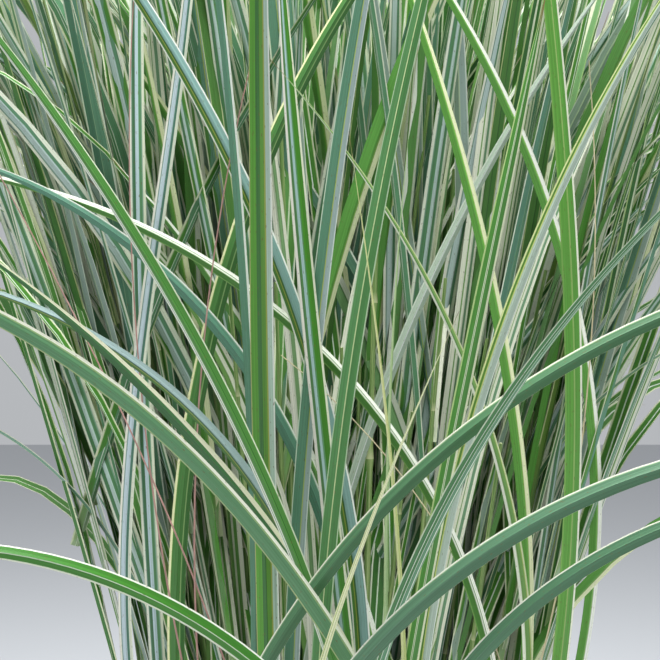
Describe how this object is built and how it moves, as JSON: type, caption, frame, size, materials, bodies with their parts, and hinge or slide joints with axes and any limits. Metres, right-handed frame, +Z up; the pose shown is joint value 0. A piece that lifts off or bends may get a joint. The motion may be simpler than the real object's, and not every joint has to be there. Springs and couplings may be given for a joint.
{
  "type": "potted miscanthus grass clump",
  "caption": "Free-standing clump of cream-striped ornamental grass with upright and arching leaves, growing in a plain round clay pot.",
  "frame": {"origin": "middle of the pot's flat underside", "axes": "+Z up along the plant; -Y is the front, where most of the single leaves cross; +X to the right"},
  "size_m": [0.8687, 0.8299, 1.2573],
  "materials": {
    "terracotta": "plain unglazed fired clay, matt, a little pale bloom",
    "potting_soil": "dark crumbly potting compost with bark and grit",
    "green_stem": "smooth pale green cane with faint rings",
    "leaf_blade": "living grass leaf, satin, green with cream margins and a pale midrib",
    "leaf_tuft": "dense tuft of the same striped leaves and their stems"
  },
  "bodies": {
    "root": {"pot": "terracotta", "soil": "potting_soil", "stem_1": "green_stem", "stem_2": "green_stem", "stem_3": "green_stem", "stem_4": "green_stem", "stem_5": "green_stem", "stem_6": "green_stem", "stem_7": "green_stem", "stem_8": "green_stem", "leaf_tuft_1": "leaf_tuft", "leaf_tuft_2": "leaf_tuft", "leaf_tuft_3": "leaf_tuft", "leaf_tuft_4": "leaf_tuft", "leaf_tuft_5": "leaf_tuft", "leaf_tuft_6": "leaf_tuft", "leaf_tuft_7": "leaf_tuft", "leaf_tuft_8": "leaf_tuft", "upright_keeled_leaf": "leaf_blade", "upper_left_diagonal_leaf": "leaf_blade", "narrow_teal_leaf": "leaf_blade", "dark_folded_leaf": "leaf_blade", "long_crossing_leaf": "leaf_blade", "wide_teal_leaf": "leaf_blade", "green_midrib_leaf": "leaf_blade", "bright_cream_edged_leaf": "leaf_blade", "white_banded_leaf": "leaf_blade", "right_upright_leaf": "leaf_blade", "dark_midrib_leaf": "leaf_blade", "teal_edged_leaf": "leaf_blade", "twisted_striped_leaf": "leaf_blade", "long_arching_leaf": "leaf_blade", "low_arching_leaf": "leaf_blade", "lowest_arching_leaf": "leaf_blade", "thin_yellow_leaf": "leaf_blade", "yellow_needle_leaf": "leaf_blade", "pale_needle_leaf": "leaf_blade", "folded_striped_leaf": "leaf_blade", "white_topped_leaf": "leaf_blade", "dark_teal_leaf": "leaf_blade", "broad_left_leaf": "leaf_blade", "cream_edged_companion_leaf": "leaf_blade", "lilac_grey_leaf": "leaf_blade", "vivid_midrib_leaf": "leaf_blade", "left_white_ribbed_leaf": "leaf_blade", "left_blue_ribbed_leaf": "leaf_blade", "centre_striped_leaf": "leaf_blade", "pale_back_leaf": "leaf_blade", "grey_leaning_leaf": "leaf_blade", "right_arching_leaf": "leaf_blade", "right_rear_leaf": "leaf_blade", "right_drooping_leaf": "leaf_blade", "back_right_leaf": "leaf_blade", "back_left_leaf": "leaf_blade", "back_drooping_leaf": "leaf_blade", "left_rear_leaf": "leaf_blade", "left_arching_leaf": "leaf_blade", "tallest_back_leaf": "leaf_blade"}
  },
  "joints": []
}
